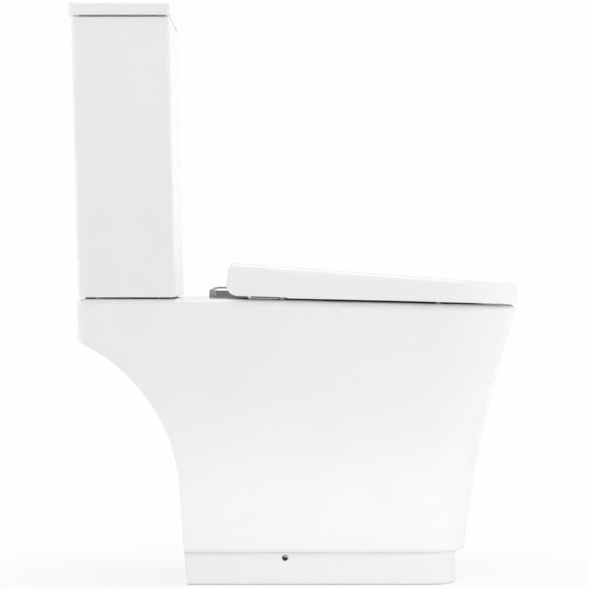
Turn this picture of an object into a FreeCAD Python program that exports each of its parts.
import FreeCAD, Part
import math
import os

# A close-coupled toilet: a floor-standing china pan, a cistern on its ledge, a soft-close seat
# with a wrap-over lid, and the flushing gear inside the cistern. Millimetres, Z up.
# While it is built, every reach is measured from the wall towards the front, and the front faces -Y.
# At the end everything is moved so that the origin lies on the floor under the middle of the box.

Vec = FreeCAD.Vector
os.makedirs("parts", exist_ok=True)

# Driving sizes of the pan
ledge_height = 399.0
ledge_gap = 11.5
pan_reach = 630.0
pan_half_width = 180.0
rim_fall_start = 208.0
rim_fall_deg = 1.33
rim_bend_run = 12.0
rim_edge_r = 8.0
rim_corner_r = 108.0
foot_corner_r = 62.0
front_crown_r = 640.0
front_undercut = 77.5
foot_half_width = 131.0
front_bow = 9.8
side_bow = 6.0
body_sections = 6
plinth_height = 42.8
plinth_step = 12.5
plinth_edge_r = 5.0
fold_height = 7.5
crease_height = 2.8
crease_step = 3.4
fold_sections = 5
rear_corner_r = 7.0
china_wall = 12.0
ledge_slab = 14.0
ledge_skirt = 59.0
back_rake_deg = 27.0
back_knee_reach = 140.8
back_foot_lean_deg = 4.0
back_knee_r = 241.0
back_edge_r = 3.0

# Bowl, rim channel and trap
rim_side_width = 50.0
rim_front_width = 53.0
rim_inner_rear = 286.0
rim_inner_rear_r = 50.0
rim_inner_front_r = 84.0
rim_inner_crown_r = 390.0
rim_lip = 10.0
rim_lip_drop = 50.0
rim_slot = 8.0
rim_channel_width = 17.0
rim_roof = 13.0
bowl_wall = 11.0
bowl_belly = 0.1
bowl_sections = 5
sump_rear_gap = 20.0
sump_rear_r = 26.0
sump_front_r = 28.0
sump_crown_r = 90.0
trap_bore_r = 36.0
trap_wall = 10.0
sump_height = 68.0
sump_front_gap = 111.0
sump_rear = 300.0
trap_rise_reach = 230.0
trap_bend_r = 60.0
outlet_height = 190.0
outlet_reach = 158.0
outlet_r = 51.0
outlet_bore_r = 42.0
outlet_spigot = 46.0

# Holes in the pan
floor_hole_r = 4.3
floor_hole_reach = 297.0
floor_hole_height = 38.2
gear_reach = 74.0
inlet_recess_r = 52.0
inlet_recess_depth = 24.0
inlet_boss_wall = 11.0
inlet_hole_r = 33.0
inlet_floor = 10.0
duct_half_width = 34.0
duct_height = 25.0
duct_wall = 10.0
coupling_half_spacing = 76.0
coupling_hole_r = 6.0
hose_hole_r = 24.0

# Cistern and its lid
cistern_gap = 2.0
cistern_height = 384.0
cistern_half_width_top = 185.0
cistern_side_lean = 4.0
cistern_rear_top = 3.7
cistern_front_top = 137.8
cistern_rear_foot = 13.0
cistern_front_foot = 147.2
cistern_corner_r = 6.0
cistern_foot_r = 2.5
cistern_wall = 11.0
cistern_floor = 12.0
wall_hole_r = 4.0
wall_hole_half_spacing = 120.0
wall_hole_drop = 46.0
pad_r = 7.0
pad_inset = 16.0
lid_side_overhang = 2.5
lid_depth = 138.5
lid_thickness = 17.0
lid_shadow_gap = 3.0
lid_foot_inset = 9.0
lid_foot_front_inset = 1.0
lid_corner_r = 6.0
lid_edge_r = 3.0
lid_rib = 5.0
lid_rib_drop = 9.0
lid_rib_gap = 3.0

# Push button in the cistern lid
collar_r = 32.0
collar_rise = 4.0
collar_edge_r = 2.0
collar_shank_r = 24.0
collar_bore_r = 21.0
collar_floor = 3.0
collar_drop = 10.0
lid_hole_gap = 0.6
button_gap = 0.35
button_split_x = 4.0
button_split_gap = 0.5
button_plate = 6.0
button_recess = 1.0
button_edge_r = 0.8
full_rod_x = -8.0
half_rod_x = 12.4
rod_r = 2.5
rod_guide_gap = 0.5
button_travel = 8.0
button_socket_r = 4.0
button_socket_depth = 5.0
spring_mean_r = 5.4
spring_wire_r = 0.5
spring_turns = 6
spring_steps = 16
spring_wire_sides = 8
spring_end_gap = 0.1
button_nut_r = 31.0
button_nut_height = 6.0
button_nut_grip_r = 3.0
thread_gap = 0.3

# Flush valve
valve_tail_r = 29.0
valve_tail_bore_r = 24.0
valve_tail_hole_gap = 2.0
valve_tail_drop = 29.0
valve_flange_r = 40.0
valve_flange = 6.0
valve_seat_rise = 3.0
valve_seat_width = 2.5
valve_washer = 2.0
valve_nut_r = 43.0
valve_nut_height = 12.0
valve_nut_grip_r = 5.0
nut_grips = 8
coupling_ring_r = 47.0
coupling_ring_gap = 2.0
cage_r = 38.0
cage_wall = 3.0
cage_height = 222.0
cage_foot = 4.0
cage_head = 14.0
cage_window_height = 46.0
cage_window_width = 34.0
cage_top_window_height = 30.0
valve_cap_r = 40.0
valve_cap_height = 26.0
valve_cap_plug = 6.0
valve_cap_edge_r = 3.0
rod_guide_depth = 20.0
rod_engagement = 8.0
overflow_r = 13.0
overflow_wall = 2.0
overflow_height = 178.0
seal_r = 31.0
seal_thickness = 3.0
seal_plate = 4.0
seal_plate_r = 28.5
valve_lift = 16.0

# Fill valve
fill_inset = 53.0
fill_tail_r = 10.48
fill_tail_drop = 52.0
fill_tail_free = 36.0
fill_shank_r = 10.2
fill_tail_bore_r = 4.0
fill_tail_hole_gap = 1.5
fill_flange_r = 18.0
fill_flange = 4.0
fill_washer = 2.0
fill_nut_r = 17.0
fill_nut_height = 10.0
hex_corners = 6
fill_riser_r = 13.0
fill_riser_height = 268.0
fill_head_r = 18.0
fill_head_height = 30.0
float_r = 30.0
float_gap = 1.0
float_height = 66.0
float_top_drop = 30.0
float_wall = 2.5
float_travel = 18.0
lever_pivot_out = 24.0
lever_length = 40.0
lever_half_width = 4.0
lever_thickness = 5.0
lever_pivot_r = 2.5
lever_rod_r = 2.0
lever_rod_gap = 2.0
lever_end = 4.0
lever_eye_wall = 2.0
lever_cheek = 3.0
lever_cheek_half_height = 5.0
float_arm_half_width = 4.0
float_arm_height = 8.0
fill_head_edge_r = 3.0

# Seat, its lid and the hinges
hinge_reach = 232.0
hinge_rise = 20.0
hinge_pin_r = 4.0
running_gap = 0.1
nose_r = 16.0
seat_lid_reach = 627.0
seat_lid_half_width = 182.0
seat_lid_corner_r = 110.0
seat_lid_rear_r = 20.0
seat_lid_rear_top = 220.5
seat_lid_rear_height = 49.5
seat_lid_top_deg = 4.25
seat_lid_foot_deg = 1.765
seat_lid_foot_gap = 4.9
seat_lid_wall = 5.0
seat_lid_edge_r = 8.0
seat_inset = 8.0
seat_foot_rise = 1.0
seat_rear = 254.0
seat_rear_thickness = 26.0
seat_front_thickness = 16.0
seat_edge_r = 4.0
seat_hole_half_width = 112.0
seat_hole_rear = 318.0
seat_front_band = 62.0
seat_hole_front_r = 92.0
seat_hole_rear_r = 72.0
seat_hole_crown_r = 300.0
seat_band_rear = 248.0
seat_band_front = 300.0
seat_band_half_width = 60.0
seat_band_gap = 1.6
bracket_x = 78.0
bracket_half_width = 13.0
bracket_rear = 190.6
bracket_front = 244.0
bracket_height = 13.3
bracket_chamfer = 2.3
bracket_cap = 1.7
bracket_cap_inset = 6.4
bracket_gasket = 1.0
gasket_inset = 1.0
knuckle_r = 12.0
lug_gap = 0.6
lug_width = 25.0
seat_lug_r = 15.0
lid_lug_r = 15.5
lug_cap = 3.5
damper_r = 9.7
damper_gap = 0.3
notch_gap = 1.2
lid_notch_front = 238.0
bumper_r = 3.2
bumper_x = 160.0
seat_bumper_rear = 293.0
bumper_front_gap = 120.0
lid_bumper_x = 145.0
lid_bumper_rear = 335.0
bumper_gap = 0.2
stud_reach = 212.0
stud_r = 3.0
stud_hole_r = 7.0
stud_length = 62.0
stud_engagement = 7.0

# Bolts, washers and wing nuts shared by the cistern and the seat
bolt_r = 3.0
bolt_head_r = 9.0
bolt_head = 5.0
bolt_drop = 62.0
bolt_seal_r = 11.0
bolt_seal = 4.0
steel_washer_r = 11.0
steel_washer = 1.6
cone_washer_r = 13.0
cone_washer_tip_r = 9.0
cone_washer = 9.0
wing_hub_r = 7.5
wing_hub_height = 9.0
wing_span = 15.0
wing_thickness = 4.0
wing_rise = 6.0

# Values worked out from the driving sizes
fold_floor = plinth_height + crease_height
body_floor = fold_floor + fold_height
foot_reach = pan_reach - front_undercut
sump_front = foot_reach - sump_front_gap
cistern_half_width_foot = cistern_half_width_top - cistern_side_lean
lid_half_width = cistern_half_width_top + lid_side_overhang
fill_x = cistern_half_width_foot - fill_inset
seat_hole_front = seat_lid_reach - seat_front_band
bumper_front = seat_lid_reach - bumper_front_gap
cistern_floor_z = ledge_height + cistern_gap
cistern_inside_z = cistern_floor_z + cistern_floor
cistern_top_z = cistern_floor_z + cistern_height
lid_base_z = cistern_top_z + lid_shadow_gap
lid_top_z = cistern_top_z + lid_thickness + lid_shadow_gap
hinge_z = ledge_height + hinge_rise
duct_roof_z = ledge_height - inlet_recess_depth - inlet_floor
duct_floor_z = duct_roof_z - duct_height
rim_inner_half_width = pan_half_width - rim_side_width
rim_inner_front = pan_reach - rim_front_width
far_off = 2.0 * seat_lid_reach

# Overlaps for joining and cutting, and how near a point must lie to count as on a face
over = 5.0
bite = 1.0
near = 0.4
hairline = 0.0001
tall = 160.0
tall_foot_z = ledge_height - 60.0


def at(x, reach, height):
    """A point from its distance off the centre plane, its reach from the wall and its height."""
    return Vec(x, -reach, height)


def rim_z(reach):
    """Height of the pan's top: level under the cistern, then falling to the front."""
    past = max(0.0, reach - rim_fall_start)
    return ledge_height - past * math.tan(math.radians(rim_fall_deg))


def lid_foot_z(reach):
    """Height of the seat lid's lower edge."""
    start = rim_z(hinge_reach) + seat_lid_foot_gap
    return start - (reach - hinge_reach) * math.tan(math.radians(seat_lid_foot_deg))


def lid_crest_z(reach):
    """Height of the seat lid's top face."""
    start = ledge_height + seat_lid_rear_height
    return start - (reach - seat_lid_rear_top) * math.tan(math.radians(seat_lid_top_deg))


def seat_foot_z(reach):
    """Height of the seat ring's underside, a little above the lid's lower edge."""
    return lid_foot_z(reach) + seat_foot_rise


def seat_top_z(reach):
    """Height of the seat ring's top face, thicker at the hinges than at the front."""
    share = (reach - seat_rear) / (seat_lid_reach - seat_inset - seat_rear)
    return seat_foot_z(reach) + seat_rear_thickness + share * (seat_front_thickness - seat_rear_thickness)


def arc_edge(x, reach, radius, start_deg, end_deg, height):
    """A flat arc about (x, reach), from one angle to another."""
    points = []
    for angle in (start_deg, (start_deg + end_deg) / 2.0, end_deg):
        turn = math.radians(angle)
        points.append(at(x + radius * math.cos(turn), reach + radius * math.sin(turn), height))
    return Part.Arc(points[0], points[1], points[2]).toShape()


def soft_outline(half_width, rear, front, height, rear_r, front_r, crown_r):
    """A closed plan outline: straight sides, a crowned front and rounded corners, all tangent."""
    crown_reach = front - crown_r
    corner_x = half_width - front_r
    corner_reach = crown_reach + math.sqrt((crown_r - front_r) ** 2 - corner_x ** 2)
    swing = math.degrees(math.atan2(corner_reach - crown_reach, corner_x))
    rear_x = half_width - rear_r
    rear_reach = rear + rear_r
    edges = [
        Part.makeLine(at(half_width, rear_reach, height), at(half_width, corner_reach, height)),
        arc_edge(corner_x, corner_reach, front_r, 0.0, swing, height),
        arc_edge(0.0, crown_reach, crown_r, swing, 180.0 - swing, height),
        arc_edge(-corner_x, corner_reach, front_r, 180.0 - swing, 180.0, height),
        Part.makeLine(at(-half_width, corner_reach, height), at(-half_width, rear_reach, height)),
        arc_edge(-rear_x, rear_reach, rear_r, 180.0, 270.0, height),
        Part.makeLine(at(-rear_x, rear, height), at(rear_x, rear, height)),
        arc_edge(rear_x, rear_reach, rear_r, 270.0, 360.0, height),
    ]
    return Part.Wire(edges)


def box_outline(half_width, rear, front, height, corner_r):
    """A closed rounded rectangle in plan."""
    x = half_width - corner_r
    edges = [
        Part.makeLine(at(half_width, rear + corner_r, height), at(half_width, front - corner_r, height)),
        arc_edge(x, front - corner_r, corner_r, 0.0, 90.0, height),
        Part.makeLine(at(x, front, height), at(-x, front, height)),
        arc_edge(-x, front - corner_r, corner_r, 90.0, 180.0, height),
        Part.makeLine(at(-half_width, front - corner_r, height), at(-half_width, rear + corner_r, height)),
        arc_edge(-x, rear + corner_r, corner_r, 180.0, 270.0, height),
        Part.makeLine(at(-x, rear, height), at(x, rear, height)),
        arc_edge(x, rear + corner_r, corner_r, 270.0, 360.0, height),
    ]
    return Part.Wire(edges)


def upright(wire, height):
    """A straight prism standing on a plan outline."""
    return Part.Face(wire).extrude(Vec(0, 0, height))


def block(x0, x1, reach0, reach1, z0, z1):
    """A plain box between two widths, two reaches and two heights."""
    return Part.makeBox(x1 - x0, reach1 - reach0, z1 - z0, at(x0, reach1, z0))


def post(x, reach, z0, z1, radius):
    """An upright round bar."""
    return Part.makeCylinder(radius, z1 - z0, at(x, reach, z0))


def sleeve(x, reach, z0, z1, outer_r, inner_r):
    """An upright tube."""
    return post(x, reach, z0, z1, outer_r).cut(post(x, reach, z0 - over, z1 + over, inner_r))


def cross_bar(x0, x1, reach, height, radius):
    """A round bar lying along X."""
    return Part.makeCylinder(radius, x1 - x0, at(x0, reach, height), Vec(1, 0, 0))


def side_slab(points, x0, x1):
    """A prism along X over a polygon of (reach, height) points."""
    corners = [at(x0, reach, height) for reach, height in points]
    corners.append(corners[0])
    return Part.Face(Part.makePolygon(corners)).extrude(Vec(x1 - x0, 0, 0))


def wire_slab(edges, x0, x1):
    """A prism along X over a closed run of edges drawn at x0."""
    return Part.Face(Part.Wire(edges)).extrude(Vec(x1 - x0, 0, 0))


def twin(shape):
    """The same piece on the other side of the centre plane."""
    return shape.mirror(Vec(0, 0, 0), Vec(1, 0, 0))


def both(shape):
    """A piece and its twin as one group."""
    return Part.makeCompound([shape, twin(shape)])


def between(lower, upper, reach0, reach1, half_width):
    """The wedge between two height functions of reach, across the whole width."""
    points = [
        (reach0, lower(reach0)),
        (reach1, lower(reach1)),
        (reach1, upper(reach1)),
        (reach0, upper(reach0)),
    ]
    return side_slab(points, -half_width, half_width)


def single(shape):
    """The one solid that a chain of cuts and joins should have left."""
    solids = shape.Solids
    assert len(solids) == 1, "expected one solid, found %d" % len(solids)
    return solids[0]


def mended(shape):
    """A rounded shape with the hairline flaws closed that a rounding can leave at its seams."""
    if not shape.isValid():
        shape.fix(hairline, hairline, bite)
    return single(shape)


def edges_where(shape, test):
    """Edges whose middle point passes a test."""
    found = []
    for edge in shape.Edges:
        middle = edge.valueAt((edge.FirstParameter + edge.LastParameter) / 2.0)
        if test(middle, edge):
            found.append(edge)
    return found


# The pan's outer body: a smooth loft that narrows to the floor
def body_outline(share, inset, rear, height):
    """Plan outline of the pan's body, at a share of the way from its foot to its top."""
    bow = 4.0 * share * (1.0 - share)
    half_width = foot_half_width + share * (pan_half_width - foot_half_width) - bow * side_bow
    front = foot_reach + share * (pan_reach - foot_reach) - bow * front_bow
    corner = foot_corner_r + share * (rim_corner_r - foot_corner_r)
    return soft_outline(half_width - inset, rear, front - inset, height,
                        rear_corner_r, corner - inset, front_crown_r)


def body_loft(inset, rear, lowest, highest):
    """The body between two heights, drawn in by an inset."""
    wires = []
    for step in range(body_sections):
        height = lowest + (highest - lowest) * step / (body_sections - 1)
        share = (height - body_floor) / (ledge_height - body_floor)
        wires.append(body_outline(share, inset, rear, height))
    return Part.makeLoft(wires, True, False)


def plinth_outline(inset, rear, height):
    """Plan outline of the plinth, a step inside the body's foot."""
    return body_outline(0.0, plinth_step + inset, rear, height)


def fold_loft():
    """The rounded tuck under the body's foot."""
    wires = []
    for step in range(fold_sections):
        turn = math.radians(90.0 * step / (fold_sections - 1))
        inset = (plinth_step - crease_step) * (1.0 - math.cos(turn))
        wires.append(body_outline(0.0, inset, ledge_gap, body_floor - fold_height * math.sin(turn)))
    return Part.makeLoft(wires, True, False)


def crease_loft():
    """The hollow sweep from under the tuck down on to the plinth's side."""
    wires = []
    for step in range(fold_sections):
        turn = math.radians(90.0 * step / (fold_sections - 1))
        inset = plinth_step - crease_step * (1.0 - math.sin(turn))
        wires.append(body_outline(0.0, inset, ledge_gap, plinth_height + crease_height * math.cos(turn)))
    return Part.makeLoft(wires, True, False)


rake = math.tan(math.radians(back_rake_deg))
lean = math.tan(math.radians(back_foot_lean_deg))
skirt_foot_z = ledge_height - ledge_skirt
knee_z = skirt_foot_z - (back_knee_reach - ledge_gap) * rake
knee_turn = math.radians(90.0 - back_rake_deg - back_foot_lean_deg)
knee_run = back_knee_r * math.tan(knee_turn / 2.0)
rake_way = (math.cos(math.radians(back_rake_deg)), math.sin(math.radians(back_rake_deg)))
lean_way = (math.sin(math.radians(back_foot_lean_deg)), math.cos(math.radians(back_foot_lean_deg)))


def back_space(x0, x1):
    """The space behind the pan: a raked line and a near-upright line with a wide bend between."""
    reach_a = back_knee_reach - knee_run * rake_way[0]
    z_a = knee_z + knee_run * rake_way[1]
    reach_b = back_knee_reach + knee_run * lean_way[0]
    z_b = knee_z - knee_run * lean_way[1]
    centre_reach = reach_a - back_knee_r * rake_way[1]
    centre_z = z_a - back_knee_r * rake_way[0]
    mid_reach = back_knee_reach - centre_reach
    mid_z = knee_z - centre_z
    scale = back_knee_r / math.hypot(mid_reach, mid_z)
    rear_reach = -far_off
    rear_z = knee_z + (back_knee_reach - rear_reach) * rake
    low_z = -over
    low_reach = back_knee_reach + (knee_z - low_z) * lean
    start = at(x0, rear_reach, rear_z)
    bend_in = at(x0, reach_a, z_a)
    bend_mid = at(x0, centre_reach + mid_reach * scale, centre_z + mid_z * scale)
    bend_out = at(x0, reach_b, z_b)
    foot = at(x0, low_reach, low_z)
    corner = at(x0, rear_reach, low_z)
    edges = [
        Part.makeLine(start, bend_in),
        Part.Arc(bend_in, bend_mid, bend_out).toShape(),
        Part.makeLine(bend_out, foot),
        Part.makeLine(foot, corner),
        Part.makeLine(corner, start),
    ]
    return wire_slab(edges, x0, x1)


def above_rim(half_width):
    """Everything above the rim, used as a cutter: level, a short bend, then the fall to the front."""
    fall = math.radians(rim_fall_deg)
    bend_r = rim_bend_run / math.tan(fall / 2.0)
    bend_reach = rim_fall_start - rim_bend_run
    mid_reach = bend_reach + bend_r * math.sin(fall / 2.0)
    mid_z = ledge_height - bend_r * (1.0 - math.cos(fall / 2.0))
    end_reach = bend_reach + bend_r * math.sin(fall)
    x = -half_width
    bend_in = at(x, bend_reach, ledge_height)
    bend_out = at(x, end_reach, rim_z(end_reach))
    front = at(x, far_off, rim_z(far_off))
    front_top = at(x, far_off, ledge_height + far_off)
    rear_top = at(x, -far_off, ledge_height + far_off)
    rear = at(x, -far_off, ledge_height)
    edges = [
        Part.Arc(bend_in, at(x, mid_reach, mid_z), bend_out).toShape(),
        Part.makeLine(bend_out, front),
        Part.makeLine(front, front_top),
        Part.makeLine(front_top, rear_top),
        Part.makeLine(rear_top, rear),
        Part.makeLine(rear, bend_in),
    ]
    return wire_slab(edges, x, half_width)


skin = body_loft(0.0, ledge_gap, body_floor, ledge_height + over)
plinth = upright(plinth_outline(0.0, ledge_gap, 0.0), plinth_height)
plinth = plinth.makeFillet(plinth_edge_r, edges_where(plinth, lambda p, e: p.z < near))
skin = single(skin.cut(above_rim(far_off)))


def on_rim_edge(point, edge):
    """True for the edges around the rim's top, not for the lines across it."""
    across = abs(edge.firstVertex().Point.x + edge.lastVertex().Point.x) < near and abs(point.x) < near
    inside = across and abs(-point.y - rim_fall_start) < rim_bend_run + bite
    return abs(point.z - rim_z(-point.y)) < near and not inside


skin = mended(skin.makeFillet(rim_edge_r, edges_where(skin, on_rim_edge)))
back = back_space(-far_off, far_off)
body = single(skin.cut(back))
plinth = single(plinth.fuse([crease_loft(), fold_loft()]).cut(back))


def back_reach(height):
    """How far from the wall the upright part of the pan's back lies at a height."""
    return back_knee_reach + (knee_z - height) * lean


def on_back_edge(point, edge):
    """True for the two upright edges of the pan's back, whose rounding then runs on along the curve."""
    upright_back = plinth_edge_r < point.z < knee_z and abs(-point.y - back_reach(point.z)) < near
    return upright_back and abs(point.x) > foot_half_width - 2.0 * plinth_step


body = mended(body.makeFillet(back_edge_r, edges_where(body, on_back_edge)))
plinth = mended(plinth.makeFillet(back_edge_r, edges_where(plinth, on_back_edge)))

# The hollow inside the skirt, open at the floor and at the back
roof_z = ledge_height - rim_lip_drop - rim_slot - bowl_wall
hollow = body_loft(china_wall, -over, body_floor, roof_z)
hollow = hollow.fuse(upright(plinth_outline(china_wall, -over, -over), body_floor + 2.0 * over))
ledge_hollow = upright(box_outline(pan_half_width - china_wall - rim_edge_r, ledge_gap + china_wall,
                                   rim_inner_rear - rim_lip - rim_channel_width - bowl_wall,
                                   roof_z - over, rear_corner_r),
                       ledge_height - ledge_slab - roof_z + over)
shell = body.cut(hollow.fuse(ledge_hollow))

# Bowl: lofted outlines from the rim channel down to the sump
channel_half_width = rim_inner_half_width + rim_lip + rim_channel_width
channel_rear = rim_inner_rear - rim_lip - rim_channel_width
channel_front = rim_inner_front + rim_lip + rim_channel_width
rim_fall = ledge_height - rim_z(pan_reach)
bowl_top_z = ledge_height - rim_lip_drop
channel_grow = rim_lip + rim_channel_width
bowl_top = (channel_half_width, channel_rear, channel_front, rim_inner_rear_r + channel_grow,
            rim_inner_front_r + channel_grow, rim_inner_crown_r + channel_grow)
bowl_foot = (trap_bore_r - bite, sump_rear + trap_bore_r + sump_rear_gap / 2.0,
             sump_front + trap_bore_r - 2.0 * bite, sump_rear_r, sump_front_r, sump_crown_r)


def bowl_loft(grow):
    """The bowl from its sump to the rim channel, with a slight belly, grown for its outer face."""
    wires = []
    for step in range(bowl_sections):
        rise = step / (bowl_sections - 1.0)
        share = rise + bowl_belly * 4.0 * rise * (1.0 - rise)
        sizes = [low + share * (high - low) for low, high in zip(bowl_foot, bowl_top)]
        half_width, rear, front, rear_r, front_r, crown_r = sizes
        height = sump_height + rise * (bowl_top_z - sump_height)
        wires.append(soft_outline(half_width + grow, rear - grow, front + grow, height,
                                  rear_r + grow, front_r + grow, crown_r + grow))
    return Part.makeLoft(wires, True, False)


trap_rise = math.atan2(outlet_height - sump_height, sump_rear - trap_rise_reach)
trap_run = trap_bend_r * math.tan(trap_rise / 2.0)
trap_entry = sump_rear + trap_run


def sump_tube(radius):
    """The round floor of the bowl: a level tube with a round nose, as far as the trap's first bend."""
    tube = Part.makeCylinder(radius, sump_front - trap_entry, at(0, sump_front, sump_height), Vec(0, 1, 0))
    return tube.fuse(Part.makeSphere(radius, at(0, sump_front, sump_height)))


def trap_path():
    """Centre line of the trap: up from the sump, over the weir and level to the outlet."""
    way = (math.cos(trap_rise), math.sin(trap_rise))
    half = trap_rise / 2.0
    low_reach = trap_entry - trap_bend_r * math.sin(half)
    low_z = sump_height + trap_bend_r * (1.0 - math.cos(half))
    high_reach = trap_rise_reach - trap_run + trap_bend_r * math.sin(half)
    high_z = outlet_height - trap_bend_r * (1.0 - math.cos(half))
    p1 = at(0, trap_entry, sump_height)
    p2 = at(0, sump_rear - trap_run * way[0], sump_height + trap_run * way[1])
    p3 = at(0, trap_rise_reach + trap_run * way[0], outlet_height - trap_run * way[1])
    p4 = at(0, trap_rise_reach - trap_run, outlet_height)
    p5 = at(0, outlet_reach + outlet_spigot / 2.0, outlet_height)
    edges = [
        Part.Arc(p1, at(0, low_reach, low_z), p2).toShape(),
        Part.makeLine(p2, p3),
        Part.Arc(p3, at(0, high_reach, high_z), p4).toShape(),
        Part.makeLine(p4, p5),
    ]
    return Part.Wire(edges)


def trap_tube(radius):
    """A round tube along the trap's centre line."""
    ring = Part.Wire([Part.makeCircle(radius, at(0, trap_entry, sump_height), Vec(0, 1, 0))])
    return trap_path().makePipeShell([ring], True, False)


# The bowl hangs inside the skirt's hollow. The trap starts where the bowl ends, and carries the spigot
spigot = Part.makeCylinder(outlet_r, outlet_spigot, at(0, outlet_reach + outlet_spigot, outlet_height), Vec(0, 1, 0))
spigot_bore = Part.makeCylinder(outlet_bore_r, outlet_spigot - trap_wall + over,
                                at(0, outlet_reach + outlet_spigot - trap_wall, outlet_height), Vec(0, 1, 0))
bowl_outer = bowl_loft(bowl_wall).fuse(sump_tube(trap_bore_r + trap_wall))
bowl_inner = bowl_loft(0.0)
water_way = [sump_tube(trap_bore_r), trap_tube(trap_bore_r), spigot_bore]
pan_bowl = single(bowl_outer.common(hollow).cut(bowl_inner).cut(water_way))
trapway = trap_tube(trap_bore_r + trap_wall).cut(back).fuse(spigot)
pan_trapway = single(trapway.cut(bowl_outer).cut(water_way))

# Flush duct from the inlet under the cistern to the rim channel
duct_outer = block(-duct_half_width - duct_wall, duct_half_width + duct_wall,
                   gear_reach - inlet_hole_r - duct_wall, channel_rear + over,
                   duct_floor_z - duct_wall, ledge_height - ledge_slab / 2.0)
duct_inner = block(-duct_half_width, duct_half_width, gear_reach - inlet_hole_r, channel_rear + over,
                   duct_floor_z, duct_roof_z)
inlet_boss = post(0, gear_reach, duct_roof_z, ledge_height - ledge_slab / 2.0, inlet_recess_r + inlet_boss_wall)
inlet_recess = post(0, gear_reach, ledge_height - inlet_recess_depth, ledge_height + over, inlet_recess_r)
inlet_hole = post(0, gear_reach, duct_roof_z - over, ledge_height, inlet_hole_r)

# The rim: a channel with an inner lip that hangs over the bowl
def rim_outline(grow, height):
    """The mouth's outline, grown for the lip and for the channel behind it."""
    return soft_outline(rim_inner_half_width + grow, rim_inner_rear - grow, rim_inner_front + grow, height,
                        rim_inner_rear_r + grow, rim_inner_front_r + grow, rim_inner_crown_r + grow)


lip_z = bowl_top_z + rim_slot
channel_roof_z = ledge_height - rim_fall - rim_roof
channel = upright(rim_outline(channel_grow, bowl_top_z - bite / 2.0), channel_roof_z - bowl_top_z + bite / 2.0)
lip = upright(rim_outline(rim_lip, lip_z), channel_roof_z + bite - lip_z)
mouth = upright(rim_outline(0.0, bowl_top_z - bite), rim_lip_drop + over)

pan = shell.fuse([duct_outer.cut(back), inlet_boss])
pan = pan.cut(bowl_inner)
pan = pan.cut(channel)
pan = pan.fuse(lip)
pan = pan.cut(mouth)
pan = pan.cut(duct_inner)
pan = pan.cut([inlet_recess, inlet_hole])

# Holes through the ledge and the plinth
ledge_holes = []
for side in (-1.0, 1.0):
    ledge_holes.append(post(side * coupling_half_spacing, gear_reach, ledge_height - ledge_slab - over,
                            ledge_height + over, coupling_hole_r))
    ledge_holes.append(post(side * bracket_x, stud_reach, ledge_height - ledge_slab - over,
                            ledge_height + over, stud_hole_r))
    hole_x = side * (foot_half_width - plinth_step - china_wall / 2.0)
    ledge_holes.append(cross_bar(hole_x - 2.0 * china_wall, hole_x + 2.0 * china_wall,
                                 floor_hole_reach, floor_hole_height, floor_hole_r))
ledge_holes.append(post(fill_x, gear_reach, ledge_height - ledge_slab - over, ledge_height + over, hose_hole_r))
pan = single(pan.cut(ledge_holes))
pan_plinth = single(plinth.cut(hollow).cut(ledge_holes))

# Cistern: a leaning tapered box, open at the top
cistern_outer = Part.makeLoft([
    box_outline(cistern_half_width_foot, cistern_rear_foot, cistern_front_foot, cistern_floor_z, cistern_corner_r),
    box_outline(cistern_half_width_top, cistern_rear_top, cistern_front_top, cistern_top_z, cistern_corner_r),
], True, True)


def cistern_inside(low_z, high_z):
    """The cistern's hollow between two heights, following the lean of its walls."""
    wires = []
    for height in (low_z, high_z):
        share = (height - cistern_floor_z) / cistern_height
        half_width = cistern_half_width_foot + share * (cistern_half_width_top - cistern_half_width_foot)
        rear = cistern_rear_foot + share * (cistern_rear_top - cistern_rear_foot)
        front = cistern_front_foot + share * (cistern_front_top - cistern_front_foot)
        wires.append(box_outline(half_width - cistern_wall, rear + cistern_wall, front - cistern_wall, height,
                                 cistern_corner_r + cistern_wall))
    return Part.makeLoft(wires, True, True)


cistern_foot_edges = edges_where(cistern_outer, lambda p, e: p.z < cistern_floor_z + near)
cistern_outer = cistern_outer.makeFillet(cistern_foot_r, cistern_foot_edges)
cistern = cistern_outer.cut(cistern_inside(cistern_inside_z, cistern_top_z + over))
cistern_holes = [
    post(0, gear_reach, cistern_floor_z - over, cistern_inside_z + over, valve_tail_r + valve_tail_hole_gap),
    post(fill_x, gear_reach, cistern_floor_z - over, cistern_inside_z + over, fill_shank_r + fill_tail_hole_gap),
]
for side in (-1.0, 1.0):
    cistern_holes.append(post(side * coupling_half_spacing, gear_reach, cistern_floor_z - over,
                              cistern_inside_z + over, coupling_hole_r))
    hole_start = at(side * wall_hole_half_spacing, cistern_rear_foot + cistern_wall + over,
                    cistern_top_z - wall_hole_drop)
    cistern_holes.append(Part.makeCylinder(wall_hole_r, cistern_wall + 4.0 * over, hole_start, Vec(0, 1, 0)))
cistern = single(cistern.cut(cistern_holes))

# Cistern lid: a slab on a foot ring, with a rib that keeps it in place
slab = upright(box_outline(lid_half_width, 0.0, lid_depth, lid_base_z, lid_corner_r), lid_thickness)
slab = slab.makeFillet(lid_edge_r, edges_where(slab, lambda p, e: p.z > lid_top_z - near))
foot_out = box_outline(cistern_half_width_top - lid_foot_inset, cistern_rear_top + lid_foot_inset,
                       cistern_front_top - lid_foot_front_inset, cistern_top_z, lid_corner_r)
rib_half_width = cistern_half_width_top - cistern_wall - lid_rib_gap
rib_rear = cistern_rear_top + cistern_wall + lid_rib_gap
rib_front = cistern_front_top - cistern_wall - lid_rib_gap
rib_corner_r = cistern_corner_r + cistern_wall - lid_rib_gap
foot_in = box_outline(rib_half_width - lid_rib, rib_rear + lid_rib, rib_front - lid_rib,
                      cistern_top_z - over, rib_corner_r - lid_rib)
foot_ring = upright(foot_out, lid_shadow_gap + bite).cut(upright(foot_in, lid_shadow_gap + 2.0 * over))
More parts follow.
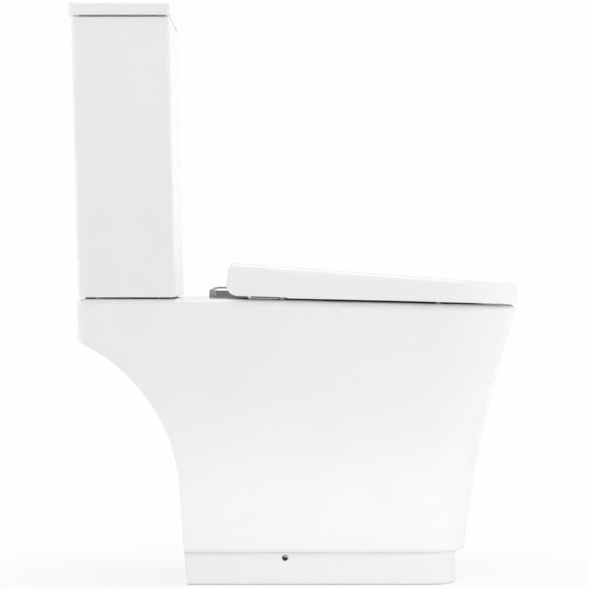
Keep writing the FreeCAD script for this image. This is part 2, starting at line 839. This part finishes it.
rib = upright(box_outline(rib_half_width, rib_rear, rib_front, cistern_top_z - lid_rib_drop, rib_corner_r),
              lid_rib_drop + lid_shadow_gap + bite)
rib = rib.cut(upright(box_outline(rib_half_width - lid_rib, rib_rear + lid_rib, rib_front - lid_rib,
                                  cistern_top_z - lid_rib_drop - over, rib_corner_r - lid_rib),
                      lid_rib_drop + lid_shadow_gap + bite + 2.0 * over))
cistern_lid = slab.fuse([foot_ring, rib])
cistern_lid = single(cistern_lid.cut(post(0, gear_reach, cistern_top_z - over, lid_top_z + over,
                                          collar_shank_r + lid_hole_gap)))

# Rubber pads under the cistern, and the coupling ring between valve and pan
pads = []
for side in (-1.0, 1.0):
    for reach in (cistern_rear_foot + pad_inset, cistern_front_foot - pad_inset):
        pads.append(post(side * (cistern_half_width_foot - pad_inset - pad_r), reach, ledge_height,
                         cistern_floor_z, pad_r))
cistern_pads = Part.makeCompound(pads)
coupling_ring = sleeve(0, gear_reach, ledge_height - inlet_recess_depth, cistern_floor_z - valve_nut_height,
                       coupling_ring_r, valve_tail_r + coupling_ring_gap)


# Bolts, seals, washers and wing nuts
def wing_nut(x, reach, top_z, bore_r):
    """A nut with two upright wings, hanging under a washer."""
    hub = post(x, reach, top_z - wing_hub_height, top_z, wing_hub_r)
    wings = block(x - wing_thickness / 2.0, x + wing_thickness / 2.0, reach - wing_span, reach + wing_span,
                  top_z - wing_hub_height - wing_rise, top_z - wing_hub_height / 2.0)
    centre = post(x, reach, top_z - wing_hub_height - wing_rise - over, top_z - wing_hub_height, wing_hub_r)
    nut = hub.fuse(wings.cut(centre))
    return single(nut.cut(post(x, reach, top_z - wing_hub_height - over, top_z + over, bore_r)))


slab_foot_z = ledge_height - ledge_slab
seal_top_z = cistern_inside_z + bolt_seal
bolt = post(coupling_half_spacing, gear_reach, seal_top_z, seal_top_z + bolt_head, bolt_head_r)
bolt = bolt.fuse(post(coupling_half_spacing, gear_reach, slab_foot_z - bolt_drop, seal_top_z + bite, bolt_r))
slot_cut = block(coupling_half_spacing - bolt_head_r, coupling_half_spacing + bolt_head_r,
                 gear_reach - bolt_r / 4.0, gear_reach + bolt_r / 4.0,
                 seal_top_z + bolt_head / 2.0, seal_top_z + bolt_head + over)
cistern_bolts = both(single(bolt.cut(slot_cut)))
cistern_bolt_seals = both(sleeve(coupling_half_spacing, gear_reach, cistern_inside_z, seal_top_z,
                                 bolt_seal_r, bolt_r + thread_gap))
cistern_bolt_washers = both(sleeve(coupling_half_spacing, gear_reach, slab_foot_z - steel_washer, slab_foot_z,
                                   steel_washer_r, bolt_r + thread_gap))
cistern_wing_nuts = both(wing_nut(coupling_half_spacing, gear_reach, slab_foot_z - steel_washer,
                                  bolt_r + thread_gap))

# Flush valve: threaded base, washer, nut, cage, cap, and the lifting overflow tube
flange_z = cistern_inside_z + valve_washer
flange_top_z = flange_z + valve_flange
seat_z = flange_top_z + valve_seat_rise
valve_base = post(0, gear_reach, flange_z, flange_top_z, valve_flange_r)
valve_base = valve_base.fuse(post(0, gear_reach, cistern_floor_z - valve_tail_drop, flange_z + bite, valve_tail_r))
valve_base = valve_base.fuse(post(0, gear_reach, flange_top_z - bite, seat_z, valve_tail_bore_r + valve_seat_width))
valve_base = single(valve_base.cut(post(0, gear_reach, cistern_floor_z - valve_tail_drop - over, seat_z + over,
                                        valve_tail_bore_r)))
valve_washer_ring = sleeve(0, gear_reach, cistern_inside_z, flange_z, valve_flange_r, valve_tail_r + thread_gap)
valve_nut = sleeve(0, gear_reach, cistern_floor_z - valve_nut_height, cistern_floor_z, valve_nut_r,
                   valve_tail_r + thread_gap)


def grip_cuts(nut_r, grip_r, low_z, high_z):
    """Round notches for the fingers, evenly about a plastic nut."""
    cuts = []
    for step in range(nut_grips):
        turn = 2.0 * math.pi * step / nut_grips
        cuts.append(post(nut_r * math.cos(turn), gear_reach + nut_r * math.sin(turn),
                         low_z - over, high_z + over, grip_r))
    return cuts


valve_nut = single(valve_nut.cut(grip_cuts(valve_nut_r, valve_nut_grip_r, cistern_floor_z - valve_nut_height,
                                           cistern_floor_z)))

cage_top_z = flange_top_z + cage_height
cage = sleeve(0, gear_reach, flange_top_z, cage_top_z, cage_r, cage_r - cage_wall)
windows = []
half_window = cage_window_width / 2.0
for low_z, high_z in ((flange_top_z + cage_foot, flange_top_z + cage_foot + cage_window_height),
                      (cage_top_z - cage_head - cage_top_window_height, cage_top_z - cage_head)):
    windows.append(block(-half_window, half_window, gear_reach - cage_r - over, gear_reach + cage_r + over,
                         low_z, high_z))
    windows.append(block(-cage_r - over, cage_r + over, gear_reach - half_window, gear_reach + half_window,
                         low_z, high_z))
flush_cage = single(cage.cut(windows))

cap_top_z = cage_top_z + valve_cap_height
cap = post(0, gear_reach, cage_top_z, cap_top_z, valve_cap_r)
cap = cap.makeFillet(valve_cap_edge_r, edges_where(cap, lambda p, e: p.z > cap_top_z - near))
cap = cap.fuse(post(0, gear_reach, cage_top_z - valve_cap_plug, cage_top_z + bite,
                    cage_r - cage_wall - thread_gap))
for rod_x in (full_rod_x, half_rod_x):
    cap = cap.cut(post(rod_x, gear_reach, cap_top_z - rod_guide_depth, cap_top_z + over, rod_r + rod_guide_gap))
flush_cap = single(cap)

seal_top = seat_z + seal_thickness
overflow = sleeve(0, gear_reach, seal_top, seal_top + overflow_height, overflow_r, overflow_r - overflow_wall)
overflow = overflow.fuse(sleeve(0, gear_reach, seal_top, seal_top + seal_plate, seal_plate_r,
                                overflow_r - overflow_wall))
overflow_tube = single(overflow)
flush_seal = sleeve(0, gear_reach, seat_z, seal_top, seal_r, overflow_r - overflow_wall)
assert seal_top + overflow_height + valve_lift < cage_top_z - valve_cap_plug, "the tube would touch the cap"

# Push button: collar through the lid, nut under it, two half buttons with rods and springs
collar_top_z = lid_top_z + collar_rise
collar_foot_z = lid_base_z - collar_drop
collar = post(0, gear_reach, lid_top_z, collar_top_z, collar_r)
collar = collar.makeFillet(collar_edge_r, edges_where(collar, lambda p, e: p.z > collar_top_z - near))
collar = collar.fuse(post(0, gear_reach, collar_foot_z, lid_top_z + bite, collar_shank_r))
collar = collar.cut(post(0, gear_reach, collar_foot_z + collar_floor, collar_top_z + over, collar_bore_r))
for rod_x in (full_rod_x, half_rod_x):
    collar = collar.cut(post(rod_x, gear_reach, collar_foot_z - over, collar_foot_z + collar_floor + over,
                             rod_r + rod_guide_gap))
button_collar = single(collar)
button_nut = sleeve(0, gear_reach, lid_base_z - button_nut_height, lid_base_z, button_nut_r,
                    collar_shank_r + thread_gap)
button_nut = single(button_nut.cut(grip_cuts(button_nut_r, button_nut_grip_r, lid_base_z - button_nut_height,
                                             lid_base_z)))

button_top_z = collar_top_z - button_recess
button_foot_z = button_top_z - button_plate
disc = post(0, gear_reach, button_foot_z, button_top_z, collar_bore_r - button_gap)


def half_button(x0, x1, rod_x):
    """One side of the split disc, with a socket for its rod."""
    side = disc.common(block(x0, x1, gear_reach - collar_r, gear_reach + collar_r,
                             button_foot_z - over, button_top_z + over))
    side = side.makeFillet(button_edge_r, edges_where(side, lambda p, e: p.z > button_top_z - near))
    side = side.fuse(post(rod_x, gear_reach, button_foot_z - button_socket_depth, button_foot_z + bite,
                          button_socket_r))
    return single(side.cut(post(rod_x, gear_reach, button_foot_z - button_socket_depth - over,
                                button_foot_z, rod_r + thread_gap)))


full_button = half_button(-collar_r, button_split_x - button_split_gap / 2.0, full_rod_x)
half_flush_button = half_button(button_split_x + button_split_gap / 2.0, collar_r, half_rod_x)
rod_foot_z = cap_top_z - rod_engagement
full_rod = post(full_rod_x, gear_reach, rod_foot_z, button_foot_z, rod_r)
half_rod = post(half_rod_x, gear_reach, rod_foot_z, button_foot_z, rod_r)


def wire_ring(x, turn, height):
    """One many-sided section of the spring's wire, at an angle about an upright line."""
    corners = []
    for side in range(spring_wire_sides + 1):
        swing = 2.0 * math.pi * side / spring_wire_sides
        radius = spring_mean_r + spring_wire_r * math.cos(swing)
        corners.append(at(x + radius * math.cos(turn), gear_reach + radius * math.sin(turn),
                          height + spring_wire_r * math.sin(swing)))
    return Part.makePolygon(corners)


def coil(x, low_z, high_z):
    """A compression spring about an upright line, lofted through sections of its wire."""
    steps = spring_turns * spring_steps
    climb = (high_z - low_z - 2.0 * spring_wire_r) / steps
    rings = []
    for step in range(steps + 1):
        turn = 2.0 * math.pi * step / spring_steps
        rings.append(wire_ring(x, turn, low_z + spring_wire_r + climb * step))
    return Part.makeLoft(rings, True, True).Solids[0]


spring_pitch = (button_foot_z - collar_foot_z - collar_floor - 2.0 * spring_wire_r) / spring_turns
print("spring: least gap between turns %.2f mm" % (spring_pitch - 2.0 * spring_wire_r))
assert button_travel < spring_turns * (spring_pitch - 2.0 * spring_wire_r), "the spring would bind"
assert button_travel < button_foot_z - button_socket_depth - collar_foot_z - collar_floor, "the socket would touch"
assert button_travel < rod_guide_depth - rod_engagement, "the rods would touch the bottom of their guides"
full_spring = coil(full_rod_x, collar_foot_z + collar_floor + spring_end_gap, button_foot_z - spring_end_gap)
half_spring = coil(half_rod_x, collar_foot_z + collar_floor + spring_end_gap, button_foot_z - spring_end_gap)

# Fill valve: threaded tail through the floor, riser, head, float and lever
fill_flange_z = cistern_inside_z + fill_washer
riser_z = fill_flange_z + fill_flange
fill_head_z = riser_z + fill_riser_height
fill = post(fill_x, gear_reach, fill_flange_z, riser_z, fill_flange_r)
tail_foot_z = cistern_floor_z - fill_tail_drop
fill = fill.fuse(post(fill_x, gear_reach, tail_foot_z, fill_flange_z + bite, fill_shank_r))
fill = fill.fuse(post(fill_x, gear_reach, tail_foot_z, tail_foot_z + fill_tail_free, fill_tail_r))
fill = fill.fuse(post(fill_x, gear_reach, riser_z - bite, fill_head_z, fill_riser_r))
fill_body = single(fill.cut(post(fill_x, gear_reach, tail_foot_z - over, fill_head_z - fill_head_height,
                                 fill_tail_bore_r)))
fill_washer_ring = sleeve(fill_x, gear_reach, cistern_inside_z, fill_flange_z, fill_flange_r,
                          fill_shank_r + thread_gap)
fill_nut = sleeve(fill_x, gear_reach, cistern_floor_z - fill_nut_height, cistern_floor_z, fill_nut_r,
                  fill_shank_r + thread_gap)
hex_points = []
for corner in range(hex_corners + 1):
    turn = 2.0 * math.pi * corner / hex_corners
    hex_points.append(at(fill_x + fill_nut_r * math.cos(turn), gear_reach + fill_nut_r * math.sin(turn),
                         cistern_floor_z - fill_nut_height - over))
hex_bar = upright(Part.makePolygon(hex_points), fill_nut_height + 2.0 * over)
fill_nut = single(fill_nut.common(hex_bar))

pivot_x = fill_x - lever_pivot_out
pivot_z = fill_head_z + fill_head_height / 2.0
head_top_z = fill_head_z + fill_head_height
head = post(fill_x, gear_reach, fill_head_z, head_top_z, fill_head_r)
head = head.makeFillet(fill_head_edge_r, edges_where(head, lambda p, e: p.z > head_top_z - near))
cheek_far = lever_half_width + thread_gap + lever_cheek
for side in (-1.0, 1.0):
    cheek = sorted((gear_reach + side * (lever_half_width + thread_gap), gear_reach + side * cheek_far))
    head = head.fuse(block(pivot_x - lever_cheek_half_height, fill_x - fill_head_r / 2.0, cheek[0], cheek[1],
                           pivot_z - lever_cheek_half_height, pivot_z + lever_cheek_half_height))
pin = Part.makeCylinder(lever_pivot_r, 2.0 * cheek_far, at(pivot_x, gear_reach + cheek_far, pivot_z), Vec(0, 1, 0))
fill_head = single(head.fuse(pin))

lever_tip_x = pivot_x - lever_length
lever = block(lever_tip_x - lever_end, pivot_x, gear_reach - lever_half_width, gear_reach + lever_half_width,
              pivot_z - lever_thickness / 2.0, pivot_z + lever_thickness / 2.0)
eye = Part.makeCylinder(lever_pivot_r + lever_eye_wall, 2.0 * lever_half_width,
                        at(pivot_x, gear_reach + lever_half_width, pivot_z), Vec(0, 1, 0))
eye_bore = Part.makeCylinder(lever_pivot_r + running_gap, 4.0 * lever_half_width,
                             at(pivot_x, gear_reach + 2.0 * lever_half_width, pivot_z), Vec(0, 1, 0))
fill_lever = single(lever.fuse(eye).cut(eye_bore))

float_top_z = fill_head_z - float_top_drop
float_cup = sleeve(fill_x, gear_reach, float_top_z - float_height, float_top_z, float_r, fill_riser_r + float_gap)
cup_space = sleeve(fill_x, gear_reach, float_top_z - float_height - over, float_top_z - float_wall,
                   float_r - float_wall, fill_riser_r + float_gap + float_wall)
float_cup = float_cup.cut(cup_space)
arm = block(lever_tip_x - lever_end, fill_x - float_r + over, gear_reach - float_arm_half_width,
            gear_reach + float_arm_half_width, float_top_z - float_arm_height, float_top_z)
lift_rod = post(lever_tip_x, gear_reach, float_top_z - bite, pivot_z - lever_thickness / 2.0 - lever_rod_gap,
                lever_rod_r)
fill_float = single(float_cup.fuse([arm, lift_rod]))
assert float_travel < float_top_drop, "the float would touch the head"

# Seat lid: the plan outline cut to a wedge, with a round nose about the hinge line
lid_span = far_off
lug_x0 = bracket_x + bracket_half_width + lug_gap
lug_x1 = lug_x0 + lug_width
seat_lug_x1 = bracket_x - bracket_half_width - lug_gap
seat_lug_x0 = seat_lug_x1 - lug_width


def nose_slab(shrink, foot, front):
    """Side view of the lid, drawn in by a wall: sloping top and foot, leaning back, round nose."""
    radius = nose_r - shrink
    rear_top = seat_lid_rear_top + shrink
    crest_rear = lid_crest_z(rear_top) - shrink
    crest_front = lid_crest_z(front) - shrink
    low_point = at(-lid_span, hinge_reach, hinge_z - radius)
    mid_point = at(-lid_span, hinge_reach - radius * math.sqrt(0.5), hinge_z - radius * math.sqrt(0.5))
    rear_point = at(-lid_span, hinge_reach - radius, hinge_z)
    loop = [rear_point, at(-lid_span, rear_top, crest_rear), at(-lid_span, front, crest_front)]
    loop = loop + [at(-lid_span, reach, height) for reach, height in foot(front)] + [low_point]
    edges = [Part.makeLine(loop[i], loop[i + 1]) for i in range(len(loop) - 1)]
    edges.append(Part.Arc(low_point, mid_point, rear_point).toShape())
    return wire_slab(edges, -lid_span, lid_span)


def outer_foot(front):
    """The lid's lower edge, from the front back to the nose."""
    return [(front, lid_foot_z(front))]


def inner_foot(front):
    """The hollow runs out below the lid, ahead of the nose."""
    step = hinge_reach + nose_r / 2.0
    return [(front, 0.0), (step, 0.0), (step, hinge_z - nose_r + seat_lid_wall)]


def lid_plan(inset):
    """The lid's plan outline as a tall prism."""
    return upright(soft_outline(seat_lid_half_width - inset, hinge_reach - nose_r + inset - bite,
                                seat_lid_reach - inset, tall_foot_z,
                                seat_lid_rear_r - inset / 2.0, seat_lid_corner_r - inset,
                                front_crown_r), tall)


lid_outer = lid_plan(0.0).common(nose_slab(0.0, outer_foot, seat_lid_reach + over))
crest_edges = edges_where(lid_outer, lambda p, e: abs(p.z - lid_crest_z(-p.y)) < near)
lid_outer = lid_outer.makeFillet(seat_lid_edge_r, crest_edges)
lid_inner = lid_plan(seat_lid_wall).common(nose_slab(seat_lid_wall, inner_foot, seat_lid_reach + over))
lid_cover = lid_outer.cut(lid_inner)

lid_parts = []
lid_cuts = []
for side in (-1.0, 1.0):
    low, high = sorted((side * lug_x0, side * lug_x1))
    lug = block(low, high, hinge_reach - 2.0 * nose_r, hinge_reach + lid_lug_r, hinge_z, hinge_z + hinge_rise + nose_r)
    lug = lug.fuse(cross_bar(low, high, hinge_reach, hinge_z, lid_lug_r))
    lid_parts.append(lug.common(lid_outer))
    bore_far = side * (lug_x1 - lug_cap)
    low, high = sorted((side * (lug_x0 - over), bore_far))
    lid_cuts.append(cross_bar(low, high, hinge_reach, hinge_z, damper_r + damper_gap / 3.0))
    low, high = sorted((side * (seat_lug_x0 - notch_gap), side * lug_x0))
    lid_cuts.append(block(low, high, hinge_reach - 2.0 * nose_r, hinge_reach + seat_lug_r + 4.0 * notch_gap,
                          0.0, lid_crest_z(hinge_reach + seat_lug_r + 4.0 * notch_gap) - seat_lid_wall))
    low, high = sorted((side * (bracket_x - bracket_half_width - lug_gap), side * lug_x0))
    lid_cuts.append(block(low, high, hinge_reach - 2.0 * nose_r, lid_notch_front, 0.0, hinge_z + far_off))
seat_lid = single(lid_cover.fuse(lid_parts).cut(lid_cuts))

# Seat ring with two hinge lugs
ring_plan = upright(soft_outline(seat_lid_half_width - seat_inset, seat_rear, seat_lid_reach - seat_inset,
                                 tall_foot_z, seat_lid_rear_r, seat_lid_corner_r - seat_inset,
                                 front_crown_r), tall)
ring = ring_plan.common(between(seat_foot_z, seat_top_z, seat_rear - over, seat_lid_reach, lid_span))
ring_top = edges_where(ring, lambda p, e: abs(p.z - seat_top_z(-p.y)) < near)
ring = ring.makeFillet(seat_edge_r, ring_top)
hole = upright(soft_outline(seat_hole_half_width, seat_hole_rear, seat_hole_front, tall_foot_z,
                            seat_hole_rear_r, seat_hole_front_r, seat_hole_crown_r), tall)
ring = ring.cut(hole)
hole_edges = edges_where(ring, lambda p, e: abs(p.z - seat_top_z(-p.y)) < near
                         and abs(p.x) < seat_hole_half_width + bite
                         and seat_hole_rear - bite < -p.y < seat_hole_front + bite)
ring = ring.makeFillet(2.0 * seat_edge_r, hole_edges)


def band_foot_z(reach):
    """Underside of the stiffening band across the seat's rear, close above the rim."""
    return rim_z(reach) + seat_band_gap


def band_top_z(reach):
    """The band runs a little way into the ring."""
    return seat_foot_z(reach) + bite


seat_parts = [between(band_foot_z, band_top_z, seat_band_rear, seat_band_front, seat_band_half_width)]
seat_cuts = []
for side in (-1.0, 1.0):
    low, high = sorted((side * seat_lug_x0, side * seat_lug_x1))
    arm = block(low, high, hinge_reach, seat_rear + 3.0 * seat_edge_r, hinge_z - seat_lug_r + bite,
                hinge_z + seat_lug_r / 2.0)
    lug = cross_bar(low, high, hinge_reach, hinge_z, seat_lug_r)
    seat_parts.extend([arm, lug])
    low, high = sorted((side * (seat_lug_x0 + lug_cap), side * (seat_lug_x1 + over)))
    seat_cuts.append(cross_bar(low, high, hinge_reach, hinge_z, damper_r + damper_gap / 3.0))
seat_ring = single(ring.fuse(seat_parts).cut(seat_cuts))

# Bumpers: on the rim under the seat, and on the seat under the lid
low_bumpers = []
high_bumpers = []


def above_rim_z(reach):
    """The bumpers' lower end, just clear of the rim."""
    return rim_z(reach) + bumper_gap


def above_seat_z(reach):
    """The lid bumpers' lower end, just clear of the seat."""
    return seat_top_z(reach) + bumper_gap


def under_lid_z(reach):
    """The lid's inner face."""
    return lid_crest_z(reach) - seat_lid_wall / math.cos(math.radians(seat_lid_top_deg))


for side in (-1.0, 1.0):
    for reach in (seat_bumper_rear, bumper_front):
        peg = post(side * bumper_x, reach, 0.0, hinge_z + far_off, bumper_r)
        low_bumpers.append(peg.common(between(above_rim_z, seat_foot_z, seat_rear, seat_lid_reach, lid_span)))
    for reach in (lid_bumper_rear, bumper_front):
        peg = post(side * lid_bumper_x, reach, 0.0, hinge_z + far_off, bumper_r)
        high_bumpers.append(peg.common(between(above_seat_z, under_lid_z, seat_rear, seat_lid_reach, lid_span)))
seat_bumpers = Part.makeCompound([single(piece) for piece in low_bumpers])
lid_bumpers = Part.makeCompound([single(piece) for piece in high_bumpers])

# Hinge brackets, gaskets, pins, dampers and fixings
base_z = ledge_height + bracket_gasket
base_top_z = ledge_height + bracket_height
inner_x = bracket_x - bracket_half_width
outer_x = bracket_x + bracket_half_width
tongue = block(inner_x, outer_x, bracket_rear + bracket_half_width, bracket_front, base_z, base_top_z)
tongue = tongue.fuse(post(bracket_x, bracket_rear + bracket_half_width, base_z, base_top_z, bracket_half_width))
tongue = tongue.removeSplitter()
rear_rim = edges_where(tongue, lambda p, e: p.z > base_top_z - near
                       and -p.y < bracket_rear + bracket_half_width - bite)
tongue = tongue.makeChamfer(bracket_chamfer, rear_rim)
cap_r = bracket_half_width - bracket_cap_inset
cap_reach = bracket_rear + bracket_half_width
cap_plate = post(bracket_x, cap_reach, base_top_z - bite, base_top_z + bracket_cap, cap_r)
cap_plate = cap_plate.fuse(block(bracket_x - cap_r, bracket_x + cap_r, cap_reach, hinge_reach,
                                 base_top_z - bite, base_top_z + bracket_cap))
knuckle = cross_bar(inner_x, outer_x, hinge_reach, hinge_z, knuckle_r)
web = side_slab([(hinge_reach - knuckle_r, base_z), (bracket_front, base_z), (hinge_reach + knuckle_r, hinge_z),
                 (hinge_reach - knuckle_r, hinge_z)], inner_x, outer_x)
bracket = tongue.fuse([cap_plate, knuckle, web])
bracket = bracket.cut(cross_bar(inner_x - over, outer_x + over, hinge_reach, hinge_z, hinge_pin_r + running_gap))
bracket = bracket.cut(post(bracket_x, stud_reach, base_z - over, base_z + stud_engagement,
                           stud_r + thread_gap))
hinge_bracket_right = single(bracket)
hinge_bracket_left = twin(hinge_bracket_right)
gasket_front = bracket_front - gasket_inset
gasket_plan = upright(box_outline(bracket_half_width - gasket_inset, bracket_rear + gasket_inset, gasket_front,
                                  ledge_height - over, bracket_half_width - 2.0 * gasket_inset), 2.0 * over)
gasket_plan.translate(Vec(bracket_x, 0, 0))
gasket = gasket_plan.common(side_slab([(0.0, ledge_height), (rim_fall_start, ledge_height),
                                       (gasket_front, rim_z(gasket_front)), (gasket_front, base_z),
                                       (0.0, base_z)], 0.0, far_off))
gasket = single(gasket.cut(post(bracket_x, stud_reach, ledge_height - over, base_z + over, stud_hole_r)))
hinge_gaskets = both(gasket)
hinge_pins = both(cross_bar(seat_lug_x0 + lug_cap + lug_gap, lug_x1 - lug_cap - lug_gap,
                            hinge_reach, hinge_z, hinge_pin_r))


def damper(x0, x1):
    """A soft-close barrel about the hinge pin."""
    barrel = cross_bar(x0, x1, hinge_reach, hinge_z, damper_r)
    return barrel.cut(cross_bar(x0 - over, x1 + over, hinge_reach, hinge_z, hinge_pin_r + running_gap))


seat_dampers = both(damper(seat_lug_x0 + lug_cap + lug_gap, seat_lug_x1 - lug_gap))
lid_dampers = both(damper(lug_x0 + lug_gap, lug_x1 - lug_cap - lug_gap))
stud_top_z = base_z + stud_engagement
seat_studs = both(post(bracket_x, stud_reach, stud_top_z - stud_length, stud_top_z - thread_gap, stud_r))
cone_foot_z = slab_foot_z - cone_washer
cone = Part.makeCone(cone_washer_tip_r, cone_washer_r, cone_washer, at(bracket_x, stud_reach, cone_foot_z))
cone = cone.cut(post(bracket_x, stud_reach, cone_foot_z - over, slab_foot_z + over, stud_r + thread_gap))
seat_cone_washers = both(cone)
seat_wing_nuts = both(wing_nut(bracket_x, stud_reach, slab_foot_z - cone_washer, stud_r + thread_gap))

# Every piece, moved so that the origin lies under the middle of the whole object
pieces = {
    "pan": pan,
    "pan_plinth": pan_plinth,
    "pan_bowl": pan_bowl,
    "pan_trapway": pan_trapway,
    "cistern": cistern,
    "cistern_lid": cistern_lid,
    "cistern_pads": cistern_pads,
    "coupling_ring": coupling_ring,
    "cistern_bolts": cistern_bolts,
    "cistern_bolt_seals": cistern_bolt_seals,
    "cistern_bolt_washers": cistern_bolt_washers,
    "cistern_wing_nuts": cistern_wing_nuts,
    "flush_valve_base": valve_base,
    "flush_valve_washer": valve_washer_ring,
    "flush_valve_nut": valve_nut,
    "flush_valve_cage": flush_cage,
    "flush_valve_cap": flush_cap,
    "overflow_tube": overflow_tube,
    "flush_seal": flush_seal,
    "button_collar": button_collar,
    "button_nut": button_nut,
    "full_flush_button": full_button,
    "half_flush_button": half_flush_button,
    "full_flush_rod": full_rod,
    "half_flush_rod": half_rod,
    "full_flush_spring": full_spring,
    "half_flush_spring": half_spring,
    "fill_valve_body": fill_body,
    "fill_valve_washer": fill_washer_ring,
    "fill_valve_nut": fill_nut,
    "fill_valve_head": fill_head,
    "fill_valve_float": fill_float,
    "fill_valve_lever": fill_lever,
    "seat_ring": seat_ring,
    "seat_lid": seat_lid,
    "seat_bumpers": seat_bumpers,
    "lid_bumpers": lid_bumpers,
    "hinge_bracket_left": hinge_bracket_left,
    "hinge_bracket_right": hinge_bracket_right,
    "hinge_gaskets": hinge_gaskets,
    "hinge_pins": hinge_pins,
    "seat_dampers": seat_dampers,
    "lid_dampers": lid_dampers,
    "seat_studs": seat_studs,
    "seat_cone_washers": seat_cone_washers,
    "seat_wing_nuts": seat_wing_nuts,
}
shift = Vec(0, seat_lid_reach / 2.0, 0)
for name, shape in pieces.items():
    moved = shape.copy()
    moved.translate(shift)
    moved.exportStep("parts/%s.step" % name)
    box = moved.BoundBox
    print("%-22s solids %d valid %s  x %.1f..%.1f  y %.1f..%.1f  z %.1f..%.1f" % (
        name, len(moved.Solids), moved.isValid(), box.XMin, box.XMax, box.YMin, box.YMax, box.ZMin, box.ZMax))
